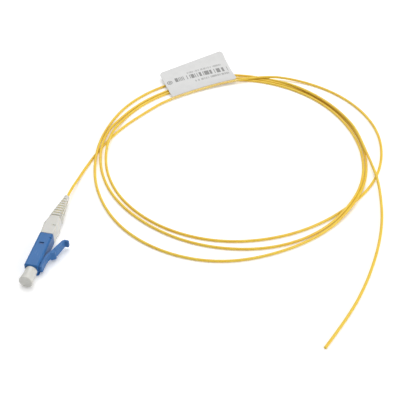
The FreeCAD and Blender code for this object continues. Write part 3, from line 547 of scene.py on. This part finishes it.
class PIGTAIL_OT_cord(bpy.types.Operator):
    """The yellow cord from the boot through the coil to its cut end"""
    bl_idname = "pigtail.cord"
    bl_label = "Cord"

    def execute(self, context):
        settings = context.scene.pigtail_cord
        radius = settings.diameter / 2
        curve = route_curve("fiber_cord", TAIL_ROUTE + coil_points(radius) + FREE_ROUTE)
        curve.bevel_depth = radius
        curve.bevel_resolution = 5
        curve.use_fill_caps = True
        curve.materials.append(self.coating(settings))
        cord = link(bpy.data.objects.new("fiber_cord", curve))
        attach(cord, "connector")
        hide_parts("cord_tail", "cord_coil", "cord_free_end")
        return {"FINISHED"}

    def coating(self, settings):
        """Yellow satin coating with a faint change of tone along it."""
        return moulded("cord_coating", settings.colour, 0.36, shade=settings.shade, patch_scale=260.0,
                       grain_scale=2500.0, scuffs=0.06)


class PIGTAIL_OT_connector(bpy.types.Operator):
    """Finishes of the connector's own pieces"""
    bl_idname = "pigtail.connector"
    bl_label = "Connector"

    def execute(self, context):
        settings = context.scene.pigtail_connector
        blue = self.blue_plastic(settings)
        for node in ("connector_housing", "latch_lever"):
            dress_node(node, blue)
        dress_node("strain_boot", self.boot_rubber(settings))
        dress_node("dust_cap", self.cap_plastic(settings))
        dress_node("rear_body", moulded("insert_plastic", settings.insert, 0.4, scuffs=0.05))
        dress_node("ferrule", moulded("ferrule_ceramic", CERAMIC, 0.12, shade=0.97, scuffs=0.0))
        dress_node("ferrule_flange", self.turned_metal("turned_flange", FLANGE_METAL))
        self.add_spring(self.turned_metal("drawn_wire", SPRING_METAL))
        dress_node("fiber_buffer", moulded("buffer_coating", context.scene.pigtail_cord.colour, 0.38))
        return {"FINISHED"}

    def add_spring(self, metal):
        """Round wire wound between the flange and the insert."""
        mesh = bpy.data.meshes.new("wound_spring")
        shape = bmesh.new()
        wire = bmesh.ops.create_circle(shape, cap_ends=False, radius=SPRING_WIRE, segments=12)["verts"]
        start = Vector((SPRING_COIL, SPRING_LOW[1] + SPRING_WIRE, PLUG_AXIS))
        bmesh.ops.translate(shape, verts=wire, vec=start)
        climb = (SPRING_HIGH[1] - SPRING_LOW[1] - 2 * SPRING_WIRE) / (SPRING_TURNS * SPRING_STEPS)
        bmesh.ops.spin(shape, geom=shape.edges[:], cent=(0.0, 0.0, PLUG_AXIS), axis=(0.0, 1.0, 0.0),
                       dvec=(0.0, climb, 0.0), angle=2 * math.pi * SPRING_TURNS,
                       steps=SPRING_TURNS * SPRING_STEPS, use_merge=False)
        bmesh.ops.holes_fill(shape, edges=[edge for edge in shape.edges if edge.is_boundary], sides=0)
        bmesh.ops.recalc_face_normals(shape, faces=shape.faces[:])
        shape.to_mesh(mesh)
        shape.free()
        mesh.materials.append(metal)
        mesh.shade_smooth()
        spring = link(bpy.data.objects.new("wound_spring", mesh))
        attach(spring, "connector")
        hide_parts("ferrule_spring")
        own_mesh(spring)

    def blue_plastic(self, settings):
        """Blue moulded plastic with a fine spark-eroded grain."""
        return moulded("blue_plastic", settings.housing, 0.4, shade=0.92, patch_scale=170.0,
                       grain_scale=7000.0, grain_height=0.000006, scuffs=0.09,
                       sockets={"Specular IOR Level": 0.32})

    def boot_rubber(self, settings):
        """Soft white elastomer. The slot floors near the cord get painted light: lighter, warmer and a little
        yellower than the boot, which takes out their shade.
        """
        soft = {"Subsurface Weight": 0.55, "Subsurface Scale": 0.0012, "Subsurface Radius": (1.0, 0.85, 0.6)}
        boot = moulded("white_boot", settings.boot, 0.5, shade=0.96, grain_scale=4000.0, scuffs=0.05,
                       sockets=soft)
        # The slot floors get painted light, lighter and yellower than the boot, which takes out their shade
        return tint(boot, settings.slots, self.slot_light_mask)

    def slot_light_mask(self, tree, place):
        """Where the boot's surface lies deep below the taper that its ribs follow, which is where the slot
        floors get their painted light.
        """
        distance, along = axis_distance(tree, place)
        share = add_node(tree, "ShaderNodeMapRange")
        tree.links.new(along, share.inputs["Value"])
        share.inputs["From Min"].default_value = RIBS_START
        share.inputs["From Max"].default_value = BOOT_HIGH[1]
        share.inputs["To Min"].default_value = RIB_RADII[0]
        share.inputs["To Max"].default_value = RIB_RADII[1]
        depth = math_node(tree, "SUBTRACT", share.outputs["Result"], distance)
        ribs = math_node(tree, "GREATER_THAN", along, RIBS_START)
        return math_node(tree, "MULTIPLY", ramp(tree, depth, *SLOT_DEPTHS), ribs)

    def cap_plastic(self, settings):
        """Translucent off-white plastic with faint streaks along it."""
        soft = {"Subsurface Weight": 0.4, "Subsurface Scale": 0.0008, "Subsurface Radius": (1.0, 0.95, 0.85)}
        cap = moulded("cap_plastic", settings.cap, 0.36, shade=0.95, patch_scale=350.0, scuffs=0.06,
                      sockets=soft)
        return tint(cap, tuple(STREAK_TONE * part for part in settings.cap), self.draw_lines)

    def draw_lines(self, tree, place):
        """Faint streaks along the cap, where it was drawn out of its mould."""
        lines = noise(tree, place, STREAK_SCALE, detail=3.0, stretch=STREAK_STRETCH)
        return math_node(tree, "MULTIPLY", ramp(tree, lines, *STREAK_RANGE), STREAK_STRENGTH)

    def turned_metal(self, name, colour):
        """Bright metal with fine rings from turning, across the plug's axis."""
        material = moulded(name, colour, 0.26, scuffs=0.0, sockets={"Metallic": 1.0})
        tree = material.node_tree
        rings = add_node(tree, "ShaderNodeTexWave", bands_direction="Y")
        rings.inputs["Scale"].default_value = RING_SCALE
        rings.inputs["Distortion"].default_value = RING_DISTORTION
        tree.links.new(add_node(tree, "ShaderNodeTexCoord").outputs["Object"], rings.inputs["Vector"])
        bump = next(node for node in tree.nodes if node.type == "BUMP")
        bump.inputs["Distance"].default_value = RING_HEIGHT
        tree.links.new(rings.outputs["Fac"], bump.inputs["Height"])
        return material


class PIGTAIL_OT_label(bpy.types.Operator):
    """The flag label: a printed flag, and the clear end of its film wrapped round the cord"""
    bl_idname = "pigtail.label"
    bl_label = "Label"

    def execute(self, context):
        settings = context.scene.pigtail_label
        line = route_line(TAIL_ROUTE + coil_points(context.scene.pigtail_cord.diameter / 2))
        stretch = labelled_stretch(line, settings.length / MM)
        flag = self.make_flag(settings, stretch)
        flag.data.materials.append(self.printed_film(settings))
        sleeve = self.make_sleeve(stretch)
        sleeve.data.materials.append(self.clear_film())
        for piece in (flag, sleeve):
            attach(piece, "connector")
            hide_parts("flag_label")
        return {"FINISHED"}

    def make_flag(self, settings, stretch):
        """A rectangle with three round corners, cut into cells, curled up and given its thickness."""
        length, depth = settings.length / MM, settings.depth / MM
        mesh = bpy.data.meshes.new("label_flag")
        shape = bmesh.new()
        bmesh.ops.create_grid(shape, x_segments=1, y_segments=1, size=0.5)
        bmesh.ops.transform(shape, verts=shape.verts[:], matrix=Matrix.Diagonal((length, depth, 1.0, 1.0)))
        bmesh.ops.translate(shape, verts=shape.verts[:], vec=(length / 2, depth / 2, 0.0))
        round_corners = [corner for corner in shape.verts if corner.co.x + corner.co.y > 1.0]
        bmesh.ops.bevel(shape, geom=round_corners, offset=settings.corner / MM, offset_type="OFFSET",
                        segments=8, profile=0.5, affect="VERTICES", material=-1)
        for direction, reach in ((Vector((1, 0, 0)), length), (Vector((0, 1, 0)), depth)):
            for cell in range(1, int(reach / LABEL_CELL) + 1):
                bmesh.ops.bisect_plane(shape, geom=shape.verts[:] + shape.edges[:] + shape.faces[:],
                                       plane_co=direction * cell * LABEL_CELL, plane_no=direction)
        place = shape.verts.layers.float_vector.new("sheet")
        for corner in shape.verts:
            corner[place] = corner.co
            corner.co = self.sheet_point(corner.co.x, corner.co.y, length, depth, stretch)
        bmesh.ops.recalc_face_normals(shape, faces=shape.faces[:])
        bmesh.ops.solidify(shape, geom=shape.faces[:], thickness=settings.thickness)
        shape.to_mesh(mesh)
        shape.free()
        return link(bpy.data.objects.new("label_flag", mesh))

    def sheet_point(self, along, out, length, depth, stretch):
        """Where a point of the flat sheet lies once the label is on the cord, in metres."""
        share = out / depth
        middle = cord_middle(stretch, along)
        lift = LABEL_LIFTS[0] + (LABEL_LIFTS[1] - LABEL_LIFTS[0]) * along / length
        beside = out + (1 - share) * (middle.y + LABEL_EDGE_GAP)
        start_height = middle.z + LABEL_ABOVE_CORD
        height = LABEL_REST + (start_height - LABEL_REST) * (1 - share) ** 2 + lift * share ** 2
        return label_axes() @ Vector((along + LABEL_SLANT * share, beside, height)) * MM

    def make_sleeve(self, stretch):
        """The clear film round the cord, along the same line as the cord."""
        curve = bpy.data.curves.new("label_sleeve", "CURVE")
        curve.dimensions = "3D"
        spline = curve.splines.new("POLY")
        spline.points.add(len(stretch) - 1)
        for knot, point in zip(spline.points, stretch):
            knot.co = (*(label_axes() @ point * MM), 1.0)
        curve.bevel_depth = SLEEVE_RADIUS * MM
        curve.bevel_resolution = 5
        return link(bpy.data.objects.new("label_sleeve", curve))

    def printed_film(self, settings):
        """White film with a generic print: a ring, a row of bars and two rows of fine marks."""
        material, tree, shader = new_material("printed_film")
        sheet = add_node(tree, "ShaderNodeAttribute", attribute_name="sheet")
        split = add_node(tree, "ShaderNodeSeparateXYZ")
        tree.links.new(sheet.outputs["Vector"], split.inputs["Vector"])
        along, out = split.outputs["X"], split.outputs["Y"]
        ink = self.symbol_mask(tree, along, out)
        for seed, row in enumerate(PRINT_ROWS):
            ink = math_node(tree, "MAXIMUM", ink, self.row_mask(tree, along, out, row, seed))
        place = add_node(tree, "ShaderNodeTexCoord").outputs["Object"]
        mottle = ramp(tree, noise(tree, place, MOTTLE_SCALE, detail=4.0), *MOTTLE_RANGE)
        film = blend_colours(tree, mottle, settings.film, tuple(part * MOTTLE_TONE for part in settings.film))
        tree.links.new(blend_colours(tree, ink, film, settings.ink), shader.inputs["Base Color"])
        fibres = noise(tree, place, FIBRE_SCALE, detail=3.0)
        rough = math_node(tree, "ADD", math_node(tree, "MULTIPLY", fibres, FIBRE_ROUGHNESS), FILM_ROUGHNESS)
        tree.links.new(rough, shader.inputs["Roughness"])
        bump = add_node(tree, "ShaderNodeBump")
        bump.inputs["Distance"].default_value = FIBRE_HEIGHT
        tree.links.new(fibres, bump.inputs["Height"])
        tree.links.new(bump.outputs["Normal"], shader.inputs["Normal"])
        return material

    def symbol_mask(self, tree, along, out):
        """A round mark with a paler ring inside it."""
        middle, across, radius = PRINT_SYMBOL
        side = math_node(tree, "POWER", math_node(tree, "SUBTRACT", along, middle), 2.0)
        rise = math_node(tree, "POWER", math_node(tree, "SUBTRACT", out, across), 2.0)
        distance = math_node(tree, "SQRT", math_node(tree, "ADD", side, rise))
        disc = math_node(tree, "LESS_THAN", distance, radius)
        from_ring = math_node(tree, "ABSOLUTE", math_node(tree, "SUBTRACT", distance, radius * SYMBOL_RING))
        ring = math_node(tree, "LESS_THAN", from_ring, radius * SYMBOL_RING_WIDTH)
        return math_node(tree, "MULTIPLY", math_node(tree, "SUBTRACT", disc, ring), SYMBOL_INK)

    def row_mask(self, tree, along, out, row, seed):
        """One row of marks: bars of uneven width, with gaps between groups of them."""
        start, across, length, height, rise, width, strength = row
        on_row = math_node(tree, "SUBTRACT", along, start)
        level = math_node(tree, "ADD", math_node(tree, "MULTIPLY", on_row, rise), across)
        beside = math_node(tree, "ABSOLUTE", math_node(tree, "SUBTRACT", out, level))
        ends = math_node(tree, "ABSOLUTE", math_node(tree, "SUBTRACT", on_row, length / 2))
        inside = math_node(tree, "MULTIPLY", math_node(tree, "LESS_THAN", beside, height / 2),
                           math_node(tree, "LESS_THAN", ends, length / 2))
        bars = self.uneven_cells(tree, on_row, width, seed + MARK_SEED, BLANK_MARKS)
        groups = self.uneven_cells(tree, on_row, width * GROUP_WIDTH, seed + GROUP_SEED, BLANK_GROUPS)
        marks = math_node(tree, "MULTIPLY", bars, groups)
        return math_node(tree, "MULTIPLY", math_node(tree, "MULTIPLY", inside, marks), strength)

    def uneven_cells(self, tree, along, width, seed, threshold):
        """Cells of one width along a row, each on or off."""
        cell = math_node(tree, "FLOOR", math_node(tree, "DIVIDE", along, width))
        chance = add_node(tree, "ShaderNodeTexWhiteNoise", noise_dimensions="1D")
        tree.links.new(math_node(tree, "ADD", cell, seed * SEED_STEP), chance.inputs["W"])
        return math_node(tree, "GREATER_THAN", chance.outputs["Value"], threshold)

    def clear_film(self):
        """Clear film: pale, and the cord shows through it."""
        material, _, shader = new_material("clear_film")
        shader.inputs["Base Color"].default_value = (0.9, 0.88, 0.8, 1.0)
        shader.inputs["Roughness"].default_value = 0.12
        shader.inputs["Alpha"].default_value = 0.16
        return material


class PIGTAIL_PT_panel(bpy.types.Panel):
    """Lists the pieces of the pigtail"""
    bl_idname = "PIGTAIL_PT_panel"
    bl_label = "Fibre pigtail"
    bl_space_type = "VIEW_3D"
    bl_region_type = "UI"
    bl_category = "Pigtail"

    def draw(self, context):
        for settings, operators in PANEL_ROWS:
            group = getattr(context.scene, settings)
            for name in group.__annotations__:
                self.layout.prop(group, name)
            for operator in operators:
                self.layout.operator(operator)


GROUPS = {"pigtail_cord": PigtailCord, "pigtail_connector": PigtailConnector, "pigtail_label": PigtailLabel,
          "pigtail_stage": PigtailStage}
PANEL_ROWS = [("pigtail_cord", ["pigtail.cord"]), ("pigtail_connector", ["pigtail.connector"]),
              ("pigtail_label", ["pigtail.label"]), ("pigtail_stage", ["pigtail.stage"])]
CLASSES = [PigtailCord, PigtailConnector, PigtailLabel, PigtailStage, PIGTAIL_OT_stage, PIGTAIL_OT_cord,
           PIGTAIL_OT_connector, PIGTAIL_OT_label, PIGTAIL_PT_panel]


def register():
    for kind in CLASSES:
        bpy.utils.register_class(kind)
    for name, group in GROUPS.items():
        setattr(bpy.types.Scene, name, PointerProperty(type=group))


def unregister():
    for name in GROUPS:
        delattr(bpy.types.Scene, name)
    for kind in reversed(CLASSES):
        bpy.utils.unregister_class(kind)


def main():
    """Make every piece: the stage, the label, the cord and the connector, in this order."""
    register()
    bpy.ops.pigtail.stage()
    bpy.ops.pigtail.label()
    bpy.ops.pigtail.cord()
    bpy.ops.pigtail.connector()


if __name__ == "__main__":
    main()
